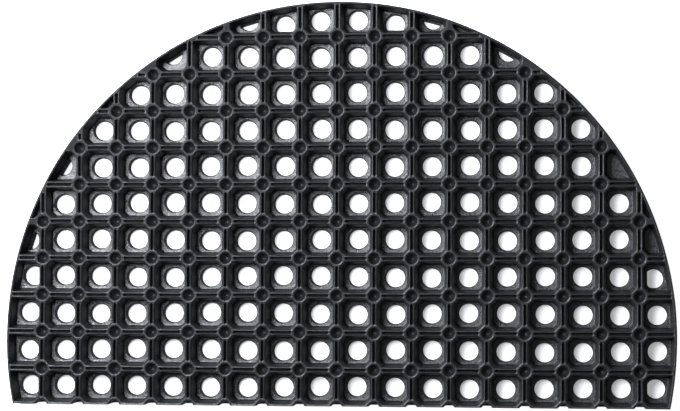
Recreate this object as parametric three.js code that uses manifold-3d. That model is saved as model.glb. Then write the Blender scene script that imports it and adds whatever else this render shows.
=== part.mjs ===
// A half-round rubber ring doormat, moulded in one piece: a plate with round holes through it, and on
// the plate a lattice of twin ribs that makes a deep pocket over each hole, with a blind cup where four
// pockets meet. A rim follows the arc, and the straight edge is cut close to a line of cups.
//
// Millimetres. The mat lies flat, +Z up, +X along the straight edge and +Y towards the top of the arc.
// The origin is on the floor, under the middle of the mat's box.

import * as THREE from "three";
import { mergeGeometries, mergeVertices } from "three/addons/utils/BufferGeometryUtils.js";
import Module from "manifold-3d";

const wasm = await Module();
wasm.setup();

// The whole mat
const WIDTH = 750; // across the arc at its widest
const DEPTH = 450; // from the straight edge to the top of the arc
const THICKNESS = 22;
const OUTER_FLARE = 1; // the outer wall stands this much further out at its foot than at its top
const ARC_SIDES = 60; // flats round the full circle

// The lattice
const COLUMNS = 18;
const ROWS = 11;
const COLUMN_PITCH = WIDTH / COLUMNS;
const ROW_PITCH = 41.1;
const EDGE_TRIM = 1; // the straight edge runs this far inside a line of the lattice

// One cell of the lattice
const PLATE = 6; // thickness of the plate under the pockets
const TWIN_RIBS = 7.3; // two ribs side by side, measured over both at the top
const WALL_LEAN = 2.7; // a wall of a pocket leans in by this much from the top to the plate
const CORNER_CUT = 6; // leg of the cut that leaves room for a cup at a corner of a pocket
const CORNERS = [
  { x: 1, y: 1 },
  { x: -1, y: 1 },
  { x: -1, y: -1 },
  { x: 1, y: -1 },
];

// The holes through the plate
const HOLE_RADIUS = 10.5;
const HOLE_SIDES = 6;
const HOLE_WANDER = 1; // how far a hole strays from the middle of its pocket, at most, along each axis
const WANDER_PHASE = {
  x: { perColumn: 1.3, perRow: 0.7 }, // radians of a slow wave from one cell to the next
  y: { perColumn: 0.9, perRow: -1.7 },
};
const HOLE_MARGIN = 8; // rubber left between a hole and the outer wall's top edge
const MOST_DRAWN_IN = 7; // a hole that passes the margin by this much is still drawn in, and stays whole
const SLIVER = 6; // depth of what the rim leaves of any other hole
const SLIVERS_OPEN_TO = 300; // further along +X than this, such slivers are closed

// The cups
const CUP_RADIUS = 7;
const CUP_DEPTH = 9;
const CUP_SIDES = 4;
const COLLAR_RADIUS = 9.5; // the solid ring around a cup

// The rim
const RIM_TOP = 2.8; // width of the rim's flat top
const LEAST_POCKET = 9; // a cell that reaches less than this inside the rim stays solid

// What follows from them
const RADIUS = WIDTH / 2;
const TOP_RADIUS = RADIUS - OUTER_FLARE;
const STRAIGHT_EDGE_Y = -DEPTH / 2;
const ARC_CENTRE_Y = DEPTH / 2 - RADIUS;
const ARC_CENTRE = new THREE.Vector2(0, ARC_CENTRE_Y);
const POCKET_DEPTH = THICKNESS - PLATE;
const POCKET_HALF_X = (COLUMN_PITCH - TWIN_RIBS) / 2;
const POCKET_HALF_Y = (ROW_PITCH - TWIN_RIBS) / 2;
const RIM_INSIDE = TOP_RADIUS - RIM_TOP;
const HOLE_LIMIT = TOP_RADIUS - HOLE_MARGIN;

const CUT_CLEARANCE = 1; // a cutter runs this far past the surface it starts from
const MERGE_DISTANCE = 1e-4;

// The radius to a corner of a regular polygon that has the area of a circle.
function cornerRadius(radius, sides) {
  return radius * Math.sqrt((2 * Math.PI) / (sides * Math.sin((2 * Math.PI) / sides)));
}

// A closed geometry, or several that stand apart, as one solid.
function toSolid(...geometries) {
  const joined = mergeGeometries(geometries);
  joined.deleteAttribute("normal");
  joined.deleteAttribute("uv");
  const merged = mergeVertices(joined, MERGE_DISTANCE);
  return new wasm.Manifold(
    new wasm.Mesh({
      numProp: 3,
      vertProperties: merged.attributes.position.array,
      triVerts: new Uint32Array(merged.index.array),
    }),
  );
}

// A solid as a geometry with flat faces.
function toGeometry(solid) {
  const mesh = solid.getMesh();
  const geometry = new THREE.BufferGeometry();
  geometry.setAttribute("position", new THREE.BufferAttribute(mesh.vertProperties, 3));
  geometry.setIndex(new THREE.BufferAttribute(mesh.triVerts, 1));
  const faceted = geometry.toNonIndexed();
  faceted.computeVertexNormals();
  return faceted;
}

// An upright drum between two heights, with a radius for its top and one for its foot.
function uprightDrum(topRadius, footRadius, footZ, topZ, sides) {
  const drum = new THREE.CylinderGeometry(topRadius, footRadius, topZ - footZ, sides);
  drum.rotateX(Math.PI / 2);
  drum.translate(0, 0, (topZ + footZ) / 2);
  return drum;
}

// The mat without its pockets: a disc with a leaning wall, cut along the straight edge.
function makeSlab() {
  const disc = uprightDrum(TOP_RADIUS, RADIUS, 0, THICKNESS, ARC_SIDES);
  disc.translate(0, ARC_CENTRE_Y, 0);
  const offcut = new THREE.BoxGeometry(2 * WIDTH, DEPTH, 2 * THICKNESS);
  offcut.translate(0, STRAIGHT_EDGE_Y - DEPTH / 2, THICKNESS / 2);
  return toSolid(disc).subtract(toSolid(offcut));
}

// The middle of a cell. Whole numbers of column and row lie on cells, halves on the lattice lines.
function cellPoint(column, row) {
  return new THREE.Vector2(
    (column - (COLUMNS - 1) / 2) * COLUMN_PITCH,
    STRAIGHT_EDGE_Y - EDGE_TRIM + (row + 1 / 2) * ROW_PITCH,
  );
}

// How far a hole strays from the middle of its pocket: slow waves along the rows and columns.
function holeWander(column, row) {
  const { x, y } = WANDER_PHASE;
  return new THREE.Vector2(
    HOLE_WANDER * Math.sin(x.perColumn * column + x.perRow * row),
    HOLE_WANDER * Math.sin(y.perColumn * column + y.perRow * row),
  );
}

// Where a hole lies, or null where there is none. Near the rim a hole is drawn in until it is whole, or
// drawn out until only a sliver of it is left.
function holePlace(column, row) {
  const place = cellPoint(column, row);
  if (place.distanceTo(ARC_CENTRE) > TOP_RADIUS) {
    return null;
  }
  place.add(holeWander(column, row));
  const farthestWhole = HOLE_LIMIT - HOLE_RADIUS;
  const excess = place.distanceTo(ARC_CENTRE) - farthestWhole;
  if (excess <= 0) {
    return place;
  }
  const isSliver = excess > MOST_DRAWN_IN;
  if (isSliver && place.x > SLIVERS_OPEN_TO) {
    return null;
  }
  const distance = isSliver ? HOLE_LIMIT + HOLE_RADIUS - SLIVER : farthestWhole;
  return place.sub(ARC_CENTRE).setLength(distance).add(ARC_CENTRE);
}

// Whether a crossing of the lattice has room for a cup and its collar inside the rim.
function hasCup(crossing) {
  return crossing.distanceTo(ARC_CENTRE) + COLLAR_RADIUS < RIM_INSIDE;
}

// How far a pocket's nearest corner reaches inside the rim's inner edge.
function pocketReach(point) {
  const x = Math.max(0, Math.abs(point.x) - POCKET_HALF_X);
  const y = Math.max(0, Math.abs(point.y - ARC_CENTRE_Y) - POCKET_HALF_Y);
  return RIM_INSIDE - Math.hypot(x, y);
}

// The outline of a pocket's mouth round the origin. Only a corner that has a cup beside it is cut.
function pocketOutline(column, row) {
  const points = CORNERS.flatMap(({ x, y }) => {
    if (!hasCup(cellPoint(column + x / 2, row + y / 2))) {
      return [new THREE.Vector2(x * POCKET_HALF_X, y * POCKET_HALF_Y)];
    }
    const cut = [
      new THREE.Vector2(x * POCKET_HALF_X, y * (POCKET_HALF_Y - CORNER_CUT)),
      new THREE.Vector2(x * (POCKET_HALF_X - CORNER_CUT), y * POCKET_HALF_Y),
    ];
    return x === y ? cut : cut.reverse();
  });
  return new THREE.Shape(points);
}

// The space of one pocket, drawn in evenly from the top to the plate.
function pocketSpace(column, row) {
  const outline = pocketOutline(column, row);
  const space = new THREE.ExtrudeGeometry(outline, { depth: POCKET_DEPTH, bevelEnabled: false });
  const points = space.attributes.position;
  const leanX = 1 - WALL_LEAN / POCKET_HALF_X;
  const leanY = 1 - WALL_LEAN / POCKET_HALF_Y;
  for (let i = 0; i < points.count; i++) {
    if (points.getZ(i) < POCKET_DEPTH / 2) {
      points.setXY(i, points.getX(i) * leanX, points.getY(i) * leanY);
    }
  }
  const middle = cellPoint(column, row);
  return space.translate(middle.x, middle.y, PLATE);
}

// All pockets, ended by the rim's leaning inner wall.
function makePocketSpaces() {
  const spaces = [];
  for (let row = 0; row < ROWS; row++) {
    for (let column = 0; column < COLUMNS; column++) {
      if (pocketReach(cellPoint(column, row)) > LEAST_POCKET) {
        spaces.push(pocketSpace(column, row));
      }
    }
  }
  const insideRim = uprightDrum(RIM_INSIDE, RIM_INSIDE - WALL_LEAN, PLATE, THICKNESS, ARC_SIDES);
  insideRim.translate(0, ARC_CENTRE_Y, 0);
  return toSolid(...spaces).intersect(toSolid(insideRim));
}

// All holes through the plate, ended by the rim.
function makeHoleSpaces() {
  const corner = cornerRadius(HOLE_RADIUS, HOLE_SIDES);
  const one = uprightDrum(corner, corner, -CUT_CLEARANCE, PLATE + CUT_CLEARANCE, HOLE_SIDES);
  const spaces = [];
  for (let row = 0; row < ROWS; row++) {
    for (let column = 0; column < COLUMNS; column++) {
      const place = holePlace(column, row);
      if (place) {
        spaces.push(one.clone().translate(place.x, place.y, 0));
      }
    }
  }
  const insideMargin = uprightDrum(HOLE_LIMIT, HOLE_LIMIT, -2 * CUT_CLEARANCE, THICKNESS, ARC_SIDES);
  insideMargin.translate(0, ARC_CENTRE_Y, 0);
  return toSolid(...spaces).intersect(toSolid(insideMargin));
}

// All cups. The straight edge cuts the lowest line of them in half.
function makeCupSpaces() {
  const past = (CUP_DEPTH + CUT_CLEARANCE) / CUP_DEPTH;
  const mouth = cornerRadius(CUP_RADIUS, CUP_SIDES) * past;
  const pit = new THREE.ConeGeometry(mouth, CUP_DEPTH * past, CUP_SIDES);
  pit.rotateX(-Math.PI / 2);
  pit.translate(0, 0, THICKNESS + CUT_CLEARANCE - (CUP_DEPTH * past) / 2);
  const spaces = [];
  for (let row = -1; row < ROWS; row++) {
    for (let column = 0; column < COLUMNS - 1; column++) {
      const crossing = cellPoint(column + 1 / 2, row + 1 / 2);
      if (hasCup(crossing)) {
        spaces.push(pit.clone().translate(crossing.x, crossing.y, 0));
      }
    }
  }
  return toSolid(...spaces);
}

const rubber = new THREE.MeshStandardMaterial({ color: 0x29292b, roughness: 0.72, metalness: 0 });

const solid = makeSlab()
  .subtract(makePocketSpaces())
  .subtract(makeHoleSpaces())
  .subtract(makeCupSpaces());
const mat = new THREE.Mesh(toGeometry(solid), rubber);
mat.name = "mat";

const doormat = new THREE.Group();
doormat.name = "rubber_ring_doormat";
doormat.add(mat);

export default doormat;
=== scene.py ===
"""A half-round rubber ring doormat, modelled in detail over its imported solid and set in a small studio.

The mat is one moulding: a plate with round holes, a lattice of twin ribs that stands on it, a blind cup
where four pockets meet, a rim along the arc and a trimmed straight edge. Every hollow is a lining, and a
flat skin on top and one underneath join all the linings into one closed mesh.

Metres, with the mat lying flat: +X along the straight edge, +Y towards the top of the arc, +Z up.
"""

from __future__ import annotations

import logging
import math
from collections.abc import Callable, Iterable, Sequence
from dataclasses import asdict, dataclass
from enum import Enum
from functools import partial
from itertools import product

import bmesh
import bpy
import numpy as np
from mathutils import Matrix, Vector
from mathutils.geometry import delaunay_2d_cdt


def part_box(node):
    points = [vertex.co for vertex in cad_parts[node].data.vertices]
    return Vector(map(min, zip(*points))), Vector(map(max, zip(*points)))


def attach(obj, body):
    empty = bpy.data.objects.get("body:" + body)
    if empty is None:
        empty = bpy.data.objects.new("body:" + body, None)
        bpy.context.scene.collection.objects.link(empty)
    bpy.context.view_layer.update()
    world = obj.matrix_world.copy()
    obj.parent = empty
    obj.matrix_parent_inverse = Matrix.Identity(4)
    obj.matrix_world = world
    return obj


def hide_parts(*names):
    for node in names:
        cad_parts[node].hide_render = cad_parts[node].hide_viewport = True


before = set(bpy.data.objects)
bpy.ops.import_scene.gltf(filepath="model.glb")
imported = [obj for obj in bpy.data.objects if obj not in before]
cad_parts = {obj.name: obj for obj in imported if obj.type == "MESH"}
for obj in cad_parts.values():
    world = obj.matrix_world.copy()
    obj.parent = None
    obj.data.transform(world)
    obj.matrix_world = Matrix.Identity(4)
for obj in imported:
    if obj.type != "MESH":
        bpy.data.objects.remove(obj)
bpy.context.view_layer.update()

MM = 0.001
MERGE_DISTANCE = 0.003 * MM
FILL_INSIDE = 1
FILL_TOLERANCE = 1e-5
ORIGIN = Vector((0.0, 0.0))
COOL_WHITE = (0.96, 0.98, 1.04)

log = logging.getLogger("ring_doormat")

Pair = tuple[float, float]
Triple = tuple[float, float, float]
Ring = list[Vector]
Array = np.ndarray
Mesh = bpy.types.Mesh
Socket = bpy.types.NodeSocket


class Plane(Enum):
    """The plane in which a flat face is filled, as the two axes that span it."""

    LEVEL = (0, 1)
    UPRIGHT = (0, 2)


class Direction(Enum):
    """The way that a groove runs."""

    ACROSS = (1.0, 0.0)
    ALONG = (0.0, 1.0)


@dataclass(frozen=True)
class Step:
    """One step of a profile, as shares of the profile's width and depth."""

    across: float
    down: float


@dataclass(frozen=True)
class MatSizes:
    """The sizes and places that every part of the mat shares."""

    width: float
    depth: float
    thickness: float
    columns: int = 18
    rows: int = 11
    row_pitch: float = 41.1 * MM
    edge_trim: float = 1.0 * MM
    twin_ribs: float = 7.3 * MM
    wall_lean: float = 2.7 * MM
    plate: float = 6.0 * MM
    outer_flare: float = 1.0 * MM
    rim_top: float = 2.8 * MM
    collar: float = 9.5 * MM
    hole_radius: float = 10.5 * MM
    hole_stray: float = 1.0 * MM
    hole_margin: float = 8.0 * MM
    most_drawn_in: float = 7.0 * MM
    sliver: float = 6.0 * MM
    slivers_open_to: float = 300.0 * MM

    @property
    def column_pitch(self) -> float:
        """The distance between two columns of cells."""
        return self.width / self.columns

    @property
    def half_cell(self) -> Pair:
        """Half the width and half the depth of a pocket at the top."""
        return (self.column_pitch - self.twin_ribs) / 2, (self.row_pitch - self.twin_ribs) / 2

    @property
    def arc_centre(self) -> Vector:
        """The middle of the circle that the arc belongs to."""
        return Vector((0.0, (self.depth - self.width) / 2))

    @property
    def straight_edge(self) -> float:
        """The straight edge's place on Y."""
        return -self.depth / 2

    @property
    def top_radius(self) -> float:
        """The radius of the arc at the top of the mat."""
        return self.width / 2 - self.outer_flare

    @property
    def rim_inside(self) -> float:
        """The radius of the rim's inner edge at the top."""
        return self.top_radius - self.rim_top

    def cell(self, column: float, row: float) -> Vector:
        """Finds a cell's middle or, for numbers that end in a half, a place between cells."""
        x = (column - (self.columns - 1) / 2) * self.column_pitch
        return Vector((x, self.straight_edge - self.edge_trim + (row + 0.5) * self.row_pitch))

    def from_centre(self, place: Vector) -> float:
        """Measures how far a place is from the arc's centre."""
        return (place - self.arc_centre).length

    def has_cup(self, crossing: Vector) -> bool:
        """Tells whether a crossing of the lattice has room for a cup inside the rim."""
        return self.from_centre(crossing) + self.collar < self.rim_inside

    def hole(self, column: int, row: int) -> Vector | None:
        """Finds the middle of a cell's hole, which strays a little from the middle of the cell.

        Near the rim a hole is drawn in until it is whole, or drawn out until only a sliver of it is left.

        Args:
            column: The cell's column.
            row: The cell's row.

        Returns:
            The place, or None where there is no hole.
        """
        place = self.cell(column, row)
        if self.from_centre(place) > self.top_radius:
            return None
        # Unlike waves in X and Y give each hole its own stray, the same in every build.
        stray = (math.sin(1.3 * column + 0.7 * row), math.sin(0.9 * column - 1.7 * row))
        place += self.hole_stray * Vector(stray)
        limit = self.top_radius - self.hole_margin
        excess = self.from_centre(place) + self.hole_radius - limit
        if excess <= 0:
            return place
        is_sliver = excess > self.most_drawn_in
        if is_sliver and place.x > self.slivers_open_to:
            return None
        distance = limit + self.hole_radius - self.sliver if is_sliver else limit - self.hole_radius
        return self.arc_centre + (place - self.arc_centre).normalized() * distance


class Shell:
    """Gathers the points and faces of one mesh."""

    def __init__(self) -> None:
        """Starts with no point and no face."""
        self.points: list[Vector] = []
        self.faces: list[tuple[int, ...]] = []

    def add(self, ring: Ring) -> list[int]:
        """Adds points and returns their numbers in the shell."""
        self.points += map(Vector, ring)
        return list(range(len(self.points) - len(ring), len(self.points)))

    def loft(self, rings: Sequence[Ring], closed: bool = True) -> list[list[int]]:
        """Adds rings and joins each to the next with four-sided faces.

        Args:
            rings: Rings with the same number of points.
            closed: Whether each ring's last point joins its first.

        Returns:
            The numbers of each ring's points.
        """
        numbers = [self.add(ring) for ring in rings]
        for upper, lower in zip(numbers, numbers[1:]):
            for i in range(len(upper) if closed else len(upper) - 1):
                j = (i + 1) % len(upper)
                self.faces.append((upper[i], upper[j], lower[j], lower[i]))
        return numbers

    def flat(self, outer: list[int], holes: Sequence[list[int]] = (), plane: Plane = Plane.LEVEL) -> None:
        """Fills a flat outline that may have convex holes.

        Args:
            outer: The numbers of the outline's points.
            holes: The numbers of each hole's points.
            plane: The plane in which the outline lies.
        """
        loops = [outer, *holes]
        numbers = [number for loop in loops for number in loop]
        loop_of = [k for k, loop in enumerate(loops) for _ in loop]
        edges = []
        for loop in loops:
            first = len(edges)
            edges += [(first + i, first + (i + 1) % len(loop)) for i in range(len(loop))]
        places = [Vector([self.points[number][axis] for axis in plane.value]) / MM for number in numbers]
        _, _, triangles, sources, _, _ = delaunay_2d_cdt(places, edges, [], FILL_INSIDE, FILL_TOLERANCE)
        for triangle in triangles:
            corners = [sources[corner][0] for corner in triangle]
            owners = {loop_of[corner] for corner in corners}
            if len(owners) > 1 or owners == {0}:
                self.faces.append(tuple(numbers[corner] for corner in corners))

    def to_mesh(self, name: str) -> Mesh:
        """Makes a mesh of what was gathered.

        Args:
            name: The mesh's name.

        Returns:
            The new mesh.
        """
        mesh = bpy.data.meshes.new(name)
        mesh.from_pydata(self.points, [], self.faces)
        return mesh


@dataclass(frozen=True)
class Outline:
    """A convex outline with softly rounded corners, as distances to its edges."""

    distances: Callable[[Array], Array]
    corner_softness: float = 0.45 * MM
    ray_length: float = 40 * MM
    halvings: int = 30
    samples: int = 721
    search_rounds: int = 4
    search_grid: int = 21
    search_zoom: float = 8.0

    def outside(self, places: Array) -> Array:
        """Measures how far places, one a row, lie outside the outline, with less than 0 for inside."""
        apart = self.distances(places) / self.corner_softness
        return np.logaddexp.reduce(apart, axis=1) * self.corner_softness

    def trace(self, middle: Array, angles: Array, inset: float) -> Array:
        """Finds where rays from inside meet the outline.

        Args:
            middle: Where the rays start, inside the outline.
            angles: The rays' angles.
            inset: How far the outline is drawn in first.

        Returns:
            One place for each ray.
        """
        rays = np.stack((np.cos(angles), np.sin(angles)), axis=1)
        near = np.zeros(len(angles))
        far = np.full(len(angles), self.ray_length)
        for _ in range(self.halvings):
            half = (near + far) / 2
            is_out = self.outside(middle + half[:, None] * rays) + inset > 0
            near = np.where(is_out, near, half)
            far = np.where(is_out, half, far)
        return middle + near[:, None] * rays

    def rings(self, middle: Array, count: int, corner_share: float, steps: Sequence[Pair]) -> list[Ring]:
        """Draws the outline at several heights, with points closer together where it turns.

        Args:
            middle: A place inside, from which the rings' points lie at the same angles.
            count: The number of points in a ring.
            corner_share: The share of the points that goes by turning instead of by length.
            steps: How far each ring is drawn in, and its height.

        Returns:
            The rings.
        """
        fine = np.linspace(0, 2 * math.pi, self.samples)
        strides = np.diff(self.trace(middle, fine, 0.0), axis=0)
        lengths = np.hypot(*strides.T)
        headings = np.unwrap(np.arctan2(strides[:, 1], strides[:, 0]))
        turns = np.abs(np.diff(headings, append=headings[0] + 2 * math.pi))
        weights = corner_share * turns / turns.sum() + (1 - corner_share) * lengths / lengths.sum()
        reached = np.concatenate(([0.0], np.cumsum(weights)))
        angles = np.interp((np.arange(count) + 0.5) / count, reached, fine)
        return [[Vector((*place, z)) for place in self.trace(middle, angles, inset)] for inset, z in steps]

    def deepest(self, middle: Array, reach: float) -> tuple[Array, float]:
        """Looks for the place furthest inside the outline.

        Args:
            middle: The middle of the square that is searched.
            reach: Half the square's side.

        Returns:
            The place, and how far inside it lies.
        """
        for _ in range(self.search_rounds):
            steps = np.linspace(-reach, reach, self.search_grid)
            grid = np.stack(np.meshgrid(steps, steps), axis=-1).reshape(-1, 2) + middle
            outside = self.outside(grid)
            middle = grid[outside.argmin()]
            reach /= self.search_zoom
        return middle, float(-outside.min())


def circle(centre: Vector, radius: float, angles: Iterable[float], height: float) -> Ring:
    """Sets points round a centre, one at each angle."""
    x, y = centre
    return [Vector((x + radius * math.cos(a), y + radius * math.sin(a), height)) for a in angles]


@dataclass(frozen=True)
class Mouths:
    """The rings where a lining opens in the skins."""

    top: Ring
    bottom: Ring | None = None

    def moved(self, offset: Vector, hole_stray: Vector) -> Mouths:
        """Moves the rings along the floor, and the lower one by its hole's stray as well."""
        shift, hole_shift = offset.to_3d(), (offset + hole_stray).to_3d()
        return Mouths([p + shift for p in self.top], self.bottom and [p + hole_shift for p in self.bottom])


@dataclass(frozen=True)
class Pocket:
    """One eight-sided pocket with leaning walls and a round hole in its floor."""

    sizes: MatSizes
    corner_cut: float = 6.0 * MM
    mouth_round: float = 1.5 * MM
    rim_mouth_round: float = 0.9 * MM
    foot_round: float = 0.5 * MM
    hole_round: float = 0.8 * MM
    hole_flare: float = 0.9 * MM
    mouth_steps: tuple[Step, ...] = (Step(-1.0, 0.0), Step(-0.25, 0.3), Step(0.15, 1.0))
    foot_steps: tuple[Step, ...] = (Step(-0.15, 0.0), Step(1.0, 1.0))
    hole_steps: tuple[Step, ...] = (Step(-1.0, 0.0), Step(-0.3, 0.3), Step(0.0, 1.0))
    hole_surround: float = 2.2 * MM
    hole_softness: float = 0.2 * MM
    hole_points: int = 24
    wall_points: int = 24
    rim_wall_points: int = 30
    wall_corner_share: float = 0.6
    hole_corner_share: float = 0.5
    rim_clearance: float = 1.0 * MM
    least_reach: float = 1.5 * MM
    lean_room: float = 0.7
    least_hole: float = 1.2 * MM
    most_missing: float = 0.5 * MM
    floor_ledge: float = 0.4 * MM

    def cut_corners(self, centre: Vector) -> list[tuple[int, int]]:
        """Lists a pocket's corners that make room for a cup.

        Args:
            centre: The cell's middle.

        Returns:
            The side of the middle that each such corner is on, along X and Y.
        """
        half = Vector((self.sizes.column_pitch, self.sizes.row_pitch)) / 2
        sides = product((-1, 1), repeat=2)
        return [side for side in sides if self.sizes.has_cup(centre + half * Vector(side))]

    def outline(self, centre: Vector) -> Outline:
        """Gives a pocket's outline at the top, ended by the rim.

        Args:
            centre: The cell's middle.

        Returns:
            The outline.
        """
        half_x, half_y = self.sizes.half_cell
        cuts = self.cut_corners(centre)
        cut_place = half_x + half_y - self.corner_cut

        def distances(places: Array) -> Array:
            """Measures the distance to the straight sides, the rim and the cut corners.

            Args:
                places: One place a row.

            Returns:
                A row for each place, with its distance to each edge.
            """
            x, y = (places - np.array(centre)).T
            arc = np.hypot(*(places - np.array(self.sizes.arc_centre)).T) - self.sizes.rim_inside
            corners = [(side_x * x + side_y * y - cut_place) / math.sqrt(2) for side_x, side_y in cuts]
            return np.stack((np.abs(x) - half_x, np.abs(y) - half_y, arc, *corners), axis=1)

        return Outline(distances)

    def is_whole(self, centre: Vector) -> bool:
        """Tells whether a pocket is clear of the rim and has a cup at each corner.

        Args:
            centre: The cell's middle.

        Returns:
            Whether the pocket has its full shape.
        """
        if len(self.cut_corners(centre)) < 4:
            return False
        half_x, half_y = self.sizes.half_cell
        reaches = ((half_x, half_y - self.corner_cut), (half_x - self.corner_cut, half_y))
        aside = Vector((abs(centre.x), abs(centre.y - self.sizes.arc_centre.y)))
        furthest = max((aside + Vector(reach)).length for reach in reaches)
        return furthest + self.mouth_round + self.rim_clearance < self.sizes.rim_inside

    def line(self, shell: Shell, centre: Vector, hole_centre: Vector | None) -> Mouths | None:
        """Adds one pocket's lining to a shell.

        Args:
            shell: Takes the lining.
            centre: The cell's middle.
            hole_centre: The hole's middle, or None where the pocket has no hole.

        Returns:
            The rings at the lining's mouths, or None where the rim leaves no room for a pocket.
        """
        outline = self.outline(centre)
        middle, reach = outline.deepest(np.array(centre), self.sizes.half_cell[0])
        if reach < self.least_reach:
            return None
        whole = self.is_whole(centre)
        if whole:
            middle = np.array(centre)
        lean, top = self.sizes.wall_lean, self.sizes.thickness
        share = min(1.0, self.lean_room * reach / (lean + self.foot_round))
        foot = top - share * (top - self.sizes.plate)
        rounding = share * self.foot_round
        mouth = self.mouth_round if whole else self.rim_mouth_round
        steps = [(step.across * mouth, top - step.down * mouth) for step in self.mouth_steps]
        for step in self.foot_steps:
            steps.append((share * lean + step.across * rounding, foot + (1 - step.down) * rounding))
        count = self.wall_points if whole else self.rim_wall_points
        rings = outline.rings(middle, count, self.wall_corner_share, steps)
        walls = shell.loft(rings)
        has_hole = hole_centre is not None and share == 1
        hole = self._hole(outline, hole_centre, lean + rounding) if has_hole else []
        shell.flat(walls[-1], shell.loft(hole)[:1])
        return Mouths(rings[0], hole[-1] if hole else None)

    def _hole(self, floor: Outline, centre: Vector, floor_inset: float) -> list[Ring]:
        """Makes the rings of a hole, which the pocket's foot may cut, from the plate's top down.

        Args:
            floor: The pocket's outline.
            centre: The hole's middle.
            floor_inset: How far the flat floor is drawn in from the outline.

        Returns:
            The rings, none where the rim leaves no room for a hole.
        """
        margin = floor_inset + self.floor_ledge + self.hole_round + self.hole_flare

        def distances(places: Array) -> Array:
            """Measures the distance to the round hole and to the edge of the floor."""
            round_hole = np.hypot(*(places - np.array(centre)).T) - self.sizes.hole_radius
            return np.stack((round_hole, floor.outside(places) + margin), axis=1)

        outline = Outline(distances, self.hole_softness)
        middle, reach = outline.deepest(np.array(centre), self.sizes.hole_radius)
        if reach < self.least_hole:
            return []
        if reach > self.sizes.hole_radius - self.most_missing:
            middle = np.array(centre)
        edge, plate = self.hole_round, self.sizes.plate
        steps = [(step.across * edge - self.hole_flare, plate - step.down * edge) for step in self.hole_steps]
        return outline.rings(middle, self.hole_points, self.hole_corner_share, [*steps, (0.0, 0.0)])


@dataclass(frozen=True)
class Cup:
    """One blind cup, or the half of one that the straight edge leaves."""

    sizes: MatSizes
    mouth_radius: float = 7.5 * MM
    lip: float = 1.8 * MM
    depth: float = 9.0 * MM
    points: int = 14
    half_points: int = 11
    lip_angles: tuple[float, ...] = (0.0, 35.0, 70.0)
    bowl_steps: tuple[Step, ...] = (Step(0.92, 0.30), Step(0.66, 0.64), Step(0.28, 0.92))
    half_bowl_steps: tuple[Step, ...] = (Step(0.90, 0.40), Step(0.80, 0.66))
    notch: float = 1.9 * MM

    def profile(self, bowl_steps: Sequence[Step]) -> list[Pair]:
        """Lists the cup's radius and height from its mouth down.

        Args:
            bowl_steps: The steps down the bowl under the lip.

        Returns:
            Pairs of radius and height.
        """
        top = self.sizes.thickness
        steps = []
        for angle in map(math.radians, self.lip_angles):
            inward, drop = self.lip * math.sin(angle), self.lip * (1 - math.cos(angle))
            steps.append((self.mouth_radius - inward, top - drop))
        brim, bowl_top = steps[-1]
        bowl_depth = self.depth - (top - bowl_top)
        steps += [(brim * step.across, bowl_top - bowl_depth * step.down) for step in bowl_steps]
        return steps

    def line(self, shell: Shell, centre: Vector) -> Mouths:
        """Adds a whole cup's lining to a shell.

        Args:
            shell: Takes the lining.
            centre: The crossing's place.

        Returns:
            The ring at the cup's mouth.
        """
        angles = 2 * math.pi * (np.arange(self.points) + 0.5) / self.points
        rings = [circle(centre, radius, angles, z) for radius, z in self.profile(self.bowl_steps)]
        last = shell.loft(rings)[-1]
        (bottom,) = shell.add([Vector((*centre, self.sizes.thickness - self.depth))])
        shell.faces += [(first, second, bottom) for first, second in zip(last, last[1:] + last[:1])]
        return Mouths(rings[0])

    def line_half(self, shell: Shell, centre: Vector) -> list[list[int]]:
        """Adds the lining of a cup that the straight edge cuts.

        The edge runs a little further in at the cup's foot, as where two mats were pulled apart.

        Args:
            shell: Takes the lining.
            centre: The crossing's place, outside the straight edge.

        Returns:
            The numbers of the points of each row of the lining, from the mouth down.
        """
        steps = self.profile(self.half_bowl_steps)
        rings = []
        for radius, z in steps:
            sunk = (steps[0][1] - z) / (steps[0][1] - steps[-1][1])
            start = math.asin((self.sizes.edge_trim + self.notch * sunk) / radius)
            rings.append(circle(centre, radius, np.linspace(start, math.pi - start, self.half_points), z))
        numbers = shell.loft(rings, closed=False)
        shell.flat(numbers[-1])
        return numbers


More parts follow.
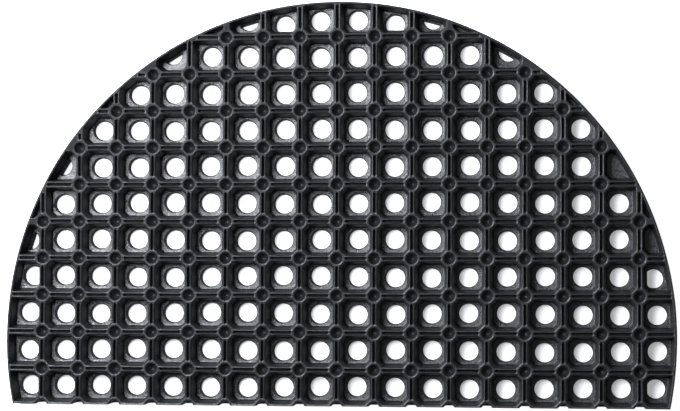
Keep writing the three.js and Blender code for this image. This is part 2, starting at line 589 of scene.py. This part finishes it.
@dataclass(frozen=True)
class Groove:
    """One narrow groove between twin ribs, with round ends."""

    sizes: MatSizes
    width: float = 1.9 * MM
    depth: float = 4.5 * MM
    mouth_round: float = 0.9 * MM
    draft: float = 0.30 * MM
    end_points: int = 5
    rim_gap: float = 3.8 * MM
    least_length: float = 4.5 * MM

    def half_pitch(self, direction: Direction) -> float:
        """Half the distance between the crossings at a groove's ends."""
        return (self.sizes.column_pitch if direction is Direction.ACROSS else self.sizes.row_pitch) / 2

    def reach(self, middle: Vector, direction: Direction) -> Pair | None:
        """Tells how far a groove runs either way from the middle between two crossings.

        Args:
            middle: The place halfway between the crossings.
            direction: The way that the groove runs.

        Returns:
            The groove's start and end along its direction, or None where the rim leaves no room for it.
        """
        along = Vector(direction.value)
        ends = []
        for sign in (-1, 1):
            crossing = middle + sign * along * self.half_pitch(direction)
            solid = self.sizes.from_centre(crossing) < self.sizes.rim_inside
            ends.append(sign * (self.half_pitch(direction) - (self.sizes.collar if solid else 0.0)))
        offset = middle - self.sizes.arc_centre
        passed = offset.dot(along)
        inside = self.sizes.top_radius - self.rim_gap
        beside = offset - along * passed
        if beside.length >= inside:
            return None
        half_chord = math.sqrt(inside**2 - beside.length_squared)
        start, end = max(ends[0], -half_chord - passed), min(ends[1], half_chord - passed)
        return (start, end) if end - start > self.least_length else None

    def line(self, shell: Shell, middle: Vector, direction: Direction, reach: Pair) -> Mouths:
        """Adds one groove's lining to a shell.

        Args:
            shell: Takes the lining.
            middle: The place that the reach is measured from.
            direction: The way that the groove runs.
            reach: The groove's start and end along its direction.

        Returns:
            The ring at the groove's mouth.
        """
        along = Vector(direction.value)
        heading = math.atan2(along.y, along.x)
        top, half = self.sizes.thickness, self.width / 2
        radii = (half + self.mouth_round, half, half - self.draft)
        heights = (top, top - self.mouth_round, top - self.depth)
        rings = []
        for radius, z in zip(radii, heights):
            ring = []
            for end, turn in ((reach[1], -math.pi / 2), (reach[0], math.pi / 2)):
                centre = middle + along * (end - math.copysign(half, end - sum(reach) / 2))
                angles = heading + np.linspace(turn, turn + math.pi, self.end_points)
                ring += circle(centre, radius, angles, z)
            rings.append(ring)
        numbers = shell.loft(rings)
        shell.flat(numbers[-1])
        return Mouths(rings[0])


@dataclass(frozen=True)
class Rim:
    """The outer wall: the rounded rim along the arc and the upright straight edge."""

    sizes: MatSizes
    arc_points: int = 150
    top_round: float = 1.7 * MM
    top_angles: tuple[float, ...] = (0.0, 30.0, 60.0, 90.0)
    foot_bevel: float = 0.6 * MM
    flare_at_foot: float = 0.97
    flare_at_top: float = 0.06

    def levels(self) -> list[Pair]:
        """Lists the outer wall's radius and height from the underside up.

        Returns:
            Pairs of radius and height.
        """
        top_radius, top = self.sizes.top_radius, self.sizes.thickness
        flare = self.sizes.outer_flare
        steps = [
            (top_radius + flare - self.foot_bevel, 0.0),
            (top_radius + self.flare_at_foot * flare, self.foot_bevel),
        ]
        for turn in map(math.radians, self.top_angles):
            drop, inward = self.top_round * (1 - math.sin(turn)), self.top_round * (1 - math.cos(turn))
            steps.append((top_radius + self.flare_at_top * flare - inward, top - drop))
        return steps

    def arc(self, radius: float, height: float) -> Ring:
        """Draws the arc from the right corner over the top to the left corner.

        Args:
            radius: The arc's radius.
            height: Its height.

        Returns:
            The arc's points.
        """
        centre = self.sizes.arc_centre
        start = math.asin((self.sizes.straight_edge - centre.y) / radius)
        ring = circle(centre, radius, np.linspace(start, math.pi - start, self.arc_points), height)
        ring[0].y = ring[-1].y = self.sizes.straight_edge
        return ring

    def line(self, shell: Shell, half_cups: Sequence[list[list[int]]]) -> tuple[list[int], list[int]]:
        """Adds the outer wall to a shell.

        Args:
            shell: Takes the wall, and already holds the half cups.
            half_cups: The numbers of each half cup's points, row by row, from left to right.

        Returns:
            The numbers of the points round the top skin and round the bottom skin.
        """
        arcs = shell.loft([self.arc(radius, height) for radius, height in self.levels()], closed=False)
        mouths, profiles, feet = [], [], []
        for rows in half_cups:
            mouths += reversed(rows[0])
            profile = [row[-1] for row in rows] + [row[0] for row in reversed(rows)]
            profiles += profile
            feet += shell.add([Vector((*shell.points[n].xy, 0.0)) for n in profile])
        right_side, left_side = zip(*((arc[0], arc[-1]) for arc in arcs))
        wall = [left_side[0], *feet, *right_side, *reversed(profiles), *reversed(left_side[1:])]
        shell.flat(wall, plane=Plane.UPRIGHT)
        return arcs[-1] + mouths, arcs[0] + feet


class NodeMaker:
    """Adds nodes to a tree and wires them up."""

    def __init__(self, tree: bpy.types.NodeTree) -> None:
        """Keeps the tree that the nodes go into."""
        self.tree = tree

    def add(self, kind: str, values: dict[str, object] | None = None, **settings: object) -> bpy.types.Node:
        """Adds one node.

        Args:
            kind: The node's type name.
            values: What each input holds, either a value or the output that feeds it.
            settings: The node's own settings.

        Returns:
            The new node.
        """
        node = self.tree.nodes.new(kind)
        for name, setting in settings.items():
            setattr(node, name, setting)
        for name, value in (values or {}).items():
            socket = node.inputs[name]
            if isinstance(value, Socket):
                self.tree.links.new(value, socket)
            else:
                socket.default_value = value
        return node

    def ramp(self, source: Socket, span: Pair, to: Pair = (0.0, 1.0)) -> Socket:
        """Stretches one span of a value over another, without going past its ends."""
        values = {"Value": source, "From Min": span[0], "From Max": span[1], "To Min": to[0], "To Max": to[1]}
        return self.add("ShaderNodeMapRange", values, clamp=True).outputs["Result"]

    def math(self, operation: str, first: object, second: object = 0.0) -> Socket:
        """Works out a sum of two values, each a number or the output that feeds it."""
        return self.add("ShaderNodeMath", {0: first, 1: second}, operation=operation).outputs[0]

    def vector(self, operation: str, values: dict, result: str = "Vector") -> Socket:
        """Works out a sum with vectors, given by their inputs."""
        return self.add("ShaderNodeVectorMath", values, operation=operation).outputs[result]

    def part(self, vector: Socket, axis: str) -> Socket:
        """Takes one part of a vector."""
        return self.add("ShaderNodeSeparateXYZ", {"Vector": vector}).outputs[axis]

    def mix(self, share: object, first: object, second: object, kind: str = "FLOAT") -> Socket:
        """Mixes two numbers or, with the kind RGBA, two colours."""
        values = {"Factor": share, "A": first, "B": second}
        return self.add("ShaderNodeMix", values, data_type=kind).outputs["Result"]

    def end_material(self, values: dict[str, object]) -> None:
        """Ends a material in one shader with the given inputs."""
        shader = self.add("ShaderNodeBsdfPrincipled", values).outputs["BSDF"]
        self.add("ShaderNodeOutputMaterial", {"Surface": shader})

    def end_geometry(self, source: Socket, offset: object, material: object) -> None:
        """Ends a geometry tree: makes copies real, moves their points and gives them their material.

        Args:
            source: The geometry so far.
            offset: How far each point moves.
            material: The material.
        """
        real = self.add("GeometryNodeRealizeInstances", {"Geometry": source}).outputs["Geometry"]
        moved = self.add("GeometryNodeSetPosition", {"Geometry": real, "Offset": offset}).outputs["Geometry"]
        dressed = self.add("GeometryNodeSetMaterial", {"Geometry": moved, "Material": material})
        self.add("NodeGroupOutput", {"Geometry": dressed.outputs["Geometry"]})


def new_material(name: str) -> tuple[bpy.types.Material, NodeMaker]:
    """Starts a material with no node in it.

    Args:
        name: The material's name.

    Returns:
        The material and a maker for its nodes.
    """
    material = bpy.data.materials.new(name)
    material.use_nodes = True
    material.node_tree.nodes.clear()
    return material, NodeMaker(material.node_tree)


def new_geometry_tree(name: str, inputs: dict[str, str]) -> NodeMaker:
    """Starts a Geometry Nodes tree that takes and gives one geometry.

    Args:
        name: The tree's name.
        inputs: The socket type of each further input, by its name.

    Returns:
        A maker for the tree's nodes.
    """
    tree = bpy.data.node_groups.new(name, "GeometryNodeTree")
    for label, kind in {"Geometry": "NodeSocketGeometry", **inputs}.items():
        tree.interface.new_socket(label, in_out="INPUT", socket_type=kind)
    tree.interface.new_socket("Geometry", in_out="OUTPUT", socket_type="NodeSocketGeometry")
    return NodeMaker(tree)


def link_object(name: str, data: bpy.types.ID) -> bpy.types.Object:
    """Puts a mesh, a lamp or a camera into the scene.

    Args:
        name: The object's name.
        data: The mesh, lamp or camera.

    Returns:
        The new object.
    """
    linked = bpy.data.objects.new(name, data)
    bpy.context.scene.collection.objects.link(linked)
    return linked


def plain_mesh(source: bpy.types.Object) -> Mesh:
    """Makes a plain mesh of an object and what its modifiers do to it."""
    return bpy.data.meshes.new_from_object(source.evaluated_get(bpy.context.evaluated_depsgraph_get()))


def run_tree(mesh: Mesh, tree: bpy.types.NodeTree, inputs: dict[str, object], name: str) -> Mesh:
    """Runs a Geometry Nodes tree over a mesh and keeps the result as a plain mesh.

    Args:
        mesh: The mesh that the tree starts from.
        tree: The tree.
        inputs: The value of each named input.
        name: The result's name.

    Returns:
        The plain mesh.
    """
    holder = link_object(name, mesh)
    modifier = holder.modifiers.new(tree.name, "NODES")
    modifier.node_group = tree
    for item in tree.interface.items_tree:
        if item.in_out == "INPUT" and item.name in inputs:
            modifier[item.identifier] = inputs[item.name]
    result = plain_mesh(holder)
    result.name = name
    bpy.data.objects.remove(holder)
    return result


def lattice_planting() -> bpy.types.NodeTree:
    """Builds a Geometry Nodes tree that sets a copy of one lining on each point of the lattice.

    Returns:
        The tree.
    """
    inputs = {"lining": "NodeSocketObject", "rubber": "NodeSocketMaterial"}
    make = new_geometry_tree("lining on each point", inputs)
    given = make.add("NodeGroupInput").outputs
    lining = make.add("GeometryNodeObjectInfo", {"Object": given["lining"]}).outputs["Geometry"]
    planted = make.add("GeometryNodeInstanceOnPoints", {"Points": given["Geometry"], "Instance": lining})
    stray, share = (
        make.add("GeometryNodeInputNamedAttribute", {"Name": name}, data_type=kind).outputs["Attribute"]
        for name, kind in (("stray", "FLOAT_VECTOR"), ("stray_share", "FLOAT"))
    )
    offset = make.vector("SCALE", {"Vector": stray, "Scale": share})
    make.end_geometry(planted.outputs["Instances"], offset, given["rubber"])
    return make.tree


@dataclass(frozen=True)
class Unevenness:
    """The slight waves of a soft moulding: its lines wander, and its top isn't quite level."""

    wander: float = 0.7 * MM
    lift: float = 0.5 * MM
    waves: float = 7.0
    ripple: float = 0.10 * MM
    ripple_waves: float = 70.0
    detail: float = 1.0
    seed: float = 4.0

    def tree(self) -> bpy.types.NodeTree:
        """Builds the Geometry Nodes tree, with an input for each size.

        Returns:
            The tree.
        """
        inputs = dict.fromkeys((*asdict(self), "thickness"), "NodeSocketFloat")
        make = new_geometry_tree("slight unevenness", {**inputs, "rubber": "NodeSocketMaterial"})
        given = make.add("NodeGroupInput").outputs
        place = make.add("GeometryNodeInputPosition").outputs["Position"]
        rise = make.math("DIVIDE", make.part(place, "Z"), given["thickness"])
        swings = []
        for scale, sideways, upwards in (("waves", "wander", "lift"), ("ripple_waves", "ripple", "ripple")):
            noise = make.add(
                "ShaderNodeTexNoise",
                {"Vector": place, "W": given["seed"], "Scale": given[scale], "Detail": given["detail"]},
                noise_dimensions="4D",
            )
            # Noise runs from 0 to 1, so twice what it has over a half swings from -1 to 1.
            swing = make.vector("SUBTRACT", {0: noise.outputs["Color"], 1: (0.5, 0.5, 0.5)})
            aside = make.math("MULTIPLY", given[sideways], 2.0)
            lift = make.math("MULTIPLY", make.math("MULTIPLY", given[upwards], 2.0), rise)
            size = make.add("ShaderNodeCombineXYZ", {"X": aside, "Y": aside, "Z": lift}).outputs["Vector"]
            swings.append(make.vector("MULTIPLY", {0: swing, 1: size}))
        make.end_geometry(given["Geometry"], make.vector("ADD", dict(enumerate(swings))), given["rubber"])
        return make.tree


@dataclass(frozen=True)
class Mottle:
    """A noise pattern: the size of its blots, how much finer it goes and how strongly."""

    size: float
    detail: float
    roughness: float = 0.5


@dataclass(frozen=True)
class RubberFinish:
    """Black moulded rubber: dull satin, finely grained, its upward floor faces lighter from dust and from
    painted light from above.
    """

    base: Triple = (0.011, 0.0114, 0.013)
    # Lighter colour of the upward-facing pocket floors: partly dust, partly painted light from above.
    dust: Triple = (0.048, 0.048, 0.051)
    least_dust: float = 0.6
    floor_roughness: Pair = (0.26, 0.48)
    top_roughness: Pair = (0.31, 0.53)
    worn_roughness: float = 0.90
    specular: float = 0.5
    patches: Mottle = Mottle(30 * MM, 3.0)
    specks: Mottle = Mottle(2.2 * MM, 4.0, 0.65)
    grain: Mottle = Mottle(1.5 * MM, 2.0)
    grain_depth: float = 0.35 * MM
    floor_height: Pair = (7.0 * MM, 10.0 * MM)
    dusty_facing: Pair = (0.55, 0.98)
    trodden_facing: Pair = (0.988, 0.9995)
    dusty_patches: Pair = (0.35, 0.70)
    dusty_specks: Pair = (0.40, 0.66)
    rough_specks: Pair = (0.42, 0.58)

    def material(self) -> bpy.types.Material:
        """Builds the material.

        Returns:
            The material.
        """
        material, make = new_material("black rubber")
        place = make.add("ShaderNodeTexCoord").outputs["Object"]

        def noise(kind: Mottle) -> Socket:
            """Adds a noise pattern."""
            values = {"Scale": 1 / kind.size, "Detail": kind.detail, "Roughness": kind.roughness}
            return make.add("ShaderNodeTexNoise", {"Vector": place, **values}).outputs["Fac"]

        patches, specks, grain = noise(self.patches), noise(self.specks), noise(self.grain)
        raised = make.ramp(make.part(place, "Z"), self.floor_height)
        upward = make.part(make.add("ShaderNodeNewGeometry").outputs["Normal"], "Z")
        patchy = make.ramp(patches, self.dusty_patches, (self.least_dust, 1.0))
        settled = make.math("MULTIPLY", patchy, make.ramp(specks, self.dusty_specks))
        # Upward-facing pocket floors are painted lighter: partly dust, partly painted light from above.
        lowered = make.math("SUBTRACT", 1.0, raised)
        upward_floor_painted_light = make.math("MULTIPLY", make.ramp(upward, self.dusty_facing), lowered)
        dust_and_painted_light_share = make.math("MULTIPLY", settled, upward_floor_painted_light)
        low = make.ramp(specks, self.rough_specks, self.floor_roughness)
        high = make.ramp(specks, self.rough_specks, self.top_roughness)
        trodden = make.math("MULTIPLY", raised, make.ramp(upward, self.trodden_facing))
        bump = make.add("ShaderNodeBump", {"Distance": self.grain_depth, "Height": grain})
        make.end_material(
            {
                "Base Color": make.mix(dust_and_painted_light_share, (*self.base, 1.0), (*self.dust, 1.0), "RGBA"),
                "Roughness": make.mix(trodden, make.mix(raised, low, high), self.worn_roughness),
                "Specular IOR Level": self.specular,
                "Normal": bump.outputs["Normal"],
            }
        )
        return material


@dataclass
class RingMat:
    """The whole mat: linings on the lattice, the rim, and the two flat skins."""

    sizes: MatSizes
    finish: RubberFinish = RubberFinish()
    unevenness: Unevenness = Unevenness()
    sharp_angle: float = math.radians(50)

    def __post_init__(self) -> None:
        """Prepares the repeated forms."""
        self.pocket = Pocket(self.sizes)
        self.cup = Cup(self.sizes)
        self.groove = Groove(self.sizes)
        self.rim = Rim(self.sizes)
        self.rubber = self.finish.material()
        self.planting = lattice_planting()
        self.shell = Shell()
        self.mouths: list[Mouths] = []
        self.parts: list[Mesh] = []

    def build(self) -> bpy.types.Object:
        """Models the mat.

        Returns:
            The mat as one closed mesh object.
        """
        self._pockets()
        half_cups = self._cups()
        self._grooves()
        outer_top, outer_bottom = self.rim.line(self.shell, half_cups)
        tops = [self.shell.add(mouths.top) for mouths in self.mouths]
        bottoms = [self.shell.add(mouths.bottom) for mouths in self.mouths if mouths.bottom]
        self.shell.flat(outer_top, tops)
        self.shell.flat(outer_bottom, bottoms)
        self.parts.append(self.shell.to_mesh("rim and skins"))
        inputs = {**asdict(self.unevenness), "thickness": self.sizes.thickness, "rubber": self.rubber}
        return self._finish_normals(run_tree(self._join(), self.unevenness.tree(), inputs, "ring_mat"))

    def _plant(
        self,
        name: str,
        line: Callable[[Shell, Vector], Mouths],
        places: Sequence[tuple[Vector, Vector]],
        middle: Vector = ORIGIN,
        hole_reach: float = 0.0,
    ) -> None:
        """Lines one hollow and has Geometry Nodes set copies of the lining on the lattice.

        Args:
            name: The name of the form.
            line: Adds the lining to a shell, round a middle.
            places: Each copy's place and the stray of its hole.
            middle: The middle that the first lining is made round.
            hole_reach: Points of the lining nearer to its middle than this stray with the hole.
        """
        lining = Shell()
        mouths = line(lining, middle)
        for point in lining.points:
            point.xy -= middle
        self.mouths += [mouths.moved(place - middle, stray) for place, stray in places]
        template = link_object(name + " lining", lining.to_mesh(name + " lining"))
        share = template.data.attributes.new("stray_share", "FLOAT", "POINT")
        share.data.foreach_set("value", [float(point.xy.length < hole_reach) for point in lining.points])
        points = bpy.data.meshes.new(name + " places")
        points.from_pydata([(*place, 0.0) for place, _ in places], [], [])
        strays = points.attributes.new("stray", "FLOAT_VECTOR", "POINT")
        strays.data.foreach_set("vector", [part for _, stray in places for part in (*stray, 0.0)])
        inputs = {"lining": template, "rubber": self.rubber}
        self.parts.append(run_tree(points, self.planting, inputs, name))
        bpy.data.objects.remove(template)
        log.info("%s: %d planted on the lattice", name, len(places))

    def _pockets(self) -> None:
        """Makes all pockets: whole ones planted, those that the rim cuts one by one."""
        whole, cut = [], []
        for row, column in product(range(self.sizes.rows), range(self.sizes.columns)):
            centre, hole_centre = self.sizes.cell(column, row), self.sizes.hole(column, row)
            if self.pocket.is_whole(centre):
                whole.append((centre, hole_centre - centre))
            elif mouths := self.pocket.line(self.shell, centre, hole_centre):
                cut.append(mouths)
        self.mouths += cut
        middle = self.sizes.arc_centre
        hole_reach = self.sizes.hole_radius + self.pocket.hole_surround
        self._plant("pockets", partial(self.pocket.line, hole_centre=middle), whole, middle, hole_reach)
        log.info("pockets: %d cut by the rim", len(cut))

    def _cups(self) -> list[list[list[int]]]:
        """Makes all cups.

        Returns:
            The numbers of the points of each half cup on the straight edge, from left to right.
        """
        whole, half_cups = [], []
        for row, column in product(range(-1, self.sizes.rows), range(self.sizes.columns - 1)):
            crossing = self.sizes.cell(column + 0.5, row + 0.5)
            if not self.sizes.has_cup(crossing):
                continue
            if row < 0:
                half_cups.append(self.cup.line_half(self.shell, crossing))
            else:
                whole.append((crossing, ORIGIN))
        self._plant("cups", self.cup.line, whole)
        return half_cups

    def _grooves(self) -> None:
        """Makes all grooves: full ones planted, those that the rim shortens one by one."""
        for direction in Direction:
            along_x, along_y = direction.value
            half_length = self.groove.half_pitch(direction) - self.sizes.collar
            full = (-half_length, half_length)
            places = []
            for row, column in product(range(self.sizes.rows), range(self.sizes.columns)):
                middle = self.sizes.cell(column + along_y / 2, row + along_x / 2)
                reach = self.groove.reach(middle, direction)
                if reach == full:
                    places.append((middle, ORIGIN))
                elif reach:
                    self.mouths.append(self.groove.line(self.shell, middle, direction, reach))
            line = partial(self.groove.line, direction=direction, reach=full)
            self._plant("grooves " + direction.name.lower(), line, places)

    def _join(self) -> Mesh:
        """Joins all parts into one closed mesh.

        Returns:
            The mesh.
        """
        joined = bmesh.new()
        for part in self.parts:
            joined.from_mesh(part)
        bmesh.ops.remove_doubles(joined, verts=joined.verts, dist=MERGE_DISTANCE)
        bmesh.ops.recalc_face_normals(joined, faces=joined.faces)
        open_edges = sum(not edge.is_manifold for edge in joined.edges)
        mesh = bpy.data.meshes.new("ring_mat")
        joined.to_mesh(mesh)
        log.info("mat: %d faces, %d open edges", len(joined.faces), open_edges)
        joined.free()
        return mesh

    def _finish_normals(self, mesh: Mesh) -> bpy.types.Object:
        """Smooths the shading over rounded edges and keeps flat faces flat.

        Args:
            mesh: The mat's mesh.

        Returns:
            The mat's object, with no modifier left.
        """
        mesh.shade_smooth()
        mesh.set_sharp_from_angle(angle=self.sharp_angle)
        mat = link_object("ring_mat", mesh)
        mat.modifiers.new("even shading", "WEIGHTED_NORMAL").keep_sharp = True
        mat.data = plain_mesh(mat)
        mat.modifiers.clear()
        mat.data.name = "ring_mat"
        return mat


@dataclass(frozen=True)
class Floor:
    """A plain pale studio floor, which looks white but throws little light back at the mat.

    Under the mat it glows less: painted shade, as little light gets there.
    """

    sizes: MatSizes
    paleness: float = 0.90
    paleness_to_mat: float = 0.25
    glow: float = 0.95
    glow_under_mat: float = 0.30
    roughness: float = 0.9
    specular: float = 0.1
    half_side: float = 15.0

    def build(self) -> None:
        """Makes the floor."""
        mesh = bpy.data.meshes.new("floor")
        turns = ((-1, -1), (1, -1), (1, 1), (-1, 1))
        corners = [(x * self.half_side, y * self.half_side, 0.0) for x, y in turns]
        mesh.from_pydata(corners, [], [(0, 1, 2, 3)])
        mesh.materials.append(self.material())
        floor = link_object("floor", mesh)

    def material(self) -> bpy.types.Material:
        """Builds the material.

        Returns:
            The material.
        """
        material, make = new_material("pale floor")
        is_seen = make.add("ShaderNodeLightPath").outputs["Is Camera Ray"]
        place = make.add("ShaderNodeTexCoord").outputs["Object"]
        distance = make.vector("DISTANCE", {0: place, 1: (*self.sizes.arc_centre, 0.0)}, "Value")
        outside_arc = make.math("GREATER_THAN", distance, self.sizes.top_radius)
        outside_edge = make.math("LESS_THAN", make.part(place, "Y"), self.sizes.straight_edge)
        is_open = make.math("MAXIMUM", outside_arc, outside_edge)
        # The dimmer glow under the mat is painted shade on the floor seen through the holes.
        glow = make.mix(is_open, self.glow_under_mat, self.glow)
        greys = [(*[grey] * 3, 1.0) for grey in (self.paleness_to_mat, self.paleness)]
        make.end_material(
            {
                "Base Color": make.mix(is_seen, *greys, "RGBA"),
                "Roughness": self.roughness,
                "Specular IOR Level": self.specular,
                "Emission Strength": make.math("MULTIPLY", is_seen, glow),
            }
        )
        return material


@dataclass(frozen=True)
class Softbox:
    """A large soft lamp over the mat, turned to the middle of it."""

    name: str
    place: Triple
    size: Pair
    power: float

    def build(self) -> None:
        """Hangs the lamp."""
        light = bpy.data.lights.new(self.name, "AREA")
        light.shape = "RECTANGLE"
        light.size, light.size_y = self.size
        light.energy = self.power
        light.color = COOL_WHITE
        lamp = link_object(self.name, light)
        lamp.location = self.place
        lamp.rotation_euler = (-Vector(self.place)).to_track_quat("-Z", "Y").to_euler()


@dataclass(frozen=True)
class Viewpoint:
    """The camera: above the mat and well to its right, as the photograph was taken."""

    place: Triple = (0.269, -0.0513, 1.8229)
    aim: Triple = (0.1235, -0.00275, 0.011)
    focal_pixels: float = 1640.7
    image_width: float = 680.0
    roll: float = math.radians(0.08)
    shift_x: float = -0.16

    def build(self) -> None:
        """Sets up the camera and makes it the scene's."""
        lens = bpy.data.cameras.new("view from above")
        lens.lens = self.focal_pixels * lens.sensor_width / self.image_width
        lens.shift_x = self.shift_x
        camera = link_object("view from above", lens)
        camera.location = self.place
        forward = (Vector(self.aim) - Vector(self.place)).normalized()
        right = forward.cross(Vector((0.0, 1.0, 0.0))).normalized()
        turn = Matrix((right, right.cross(forward), -forward)).transposed()
        camera.rotation_euler = (turn @ Matrix.Rotation(self.roll, 3, "Z")).to_euler()
        bpy.context.scene.camera = camera


@dataclass(frozen=True)
class Studio:
    """The plain studio round the mat."""

    sizes: MatSizes
    lamps: tuple[Softbox, ...] = (
        Softbox("key softbox", (-0.74, 0.46, 1.45), (0.7, 0.7), 54.0),
        Softbox("side softbox", (-1.60, 1.00, 1.05), (0.9, 0.6), 11.0),
        Softbox("overhead softbox", (0.6, -0.2, 3.4), (2.5, 2.5), 4.0),
    )
    ambient: float = 0.10

    def build(self) -> None:
        """Sets up the floor, the lamps and the surrounding light."""
        Floor(self.sizes).build()
        for lamp in self.lamps:
            lamp.build()
        world = bpy.data.worlds.new("studio")
        world.use_nodes = True
        background = world.node_tree.nodes["Background"]
        background.inputs["Color"].default_value = (*COOL_WHITE, 1.0)
        background.inputs["Strength"].default_value = self.ambient
        bpy.context.scene.world = world
        bpy.context.scene.view_settings.view_transform = "Standard"


def main() -> None:
    """Builds the camera, the studio and the mat."""
    logging.basicConfig(level=logging.INFO, format="%(message)s")
    low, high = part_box("mat")
    sizes = MatSizes(*(high - low))
    Viewpoint().build()
    Studio(sizes).build()
    mat = RingMat(sizes).build()
    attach(mat, "root")
    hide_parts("mat")
    log.info("%s: %d triangles", mat.name, sum(len(face.vertices) - 2 for face in mat.data.polygons))


if __name__ == "__main__":
    main()
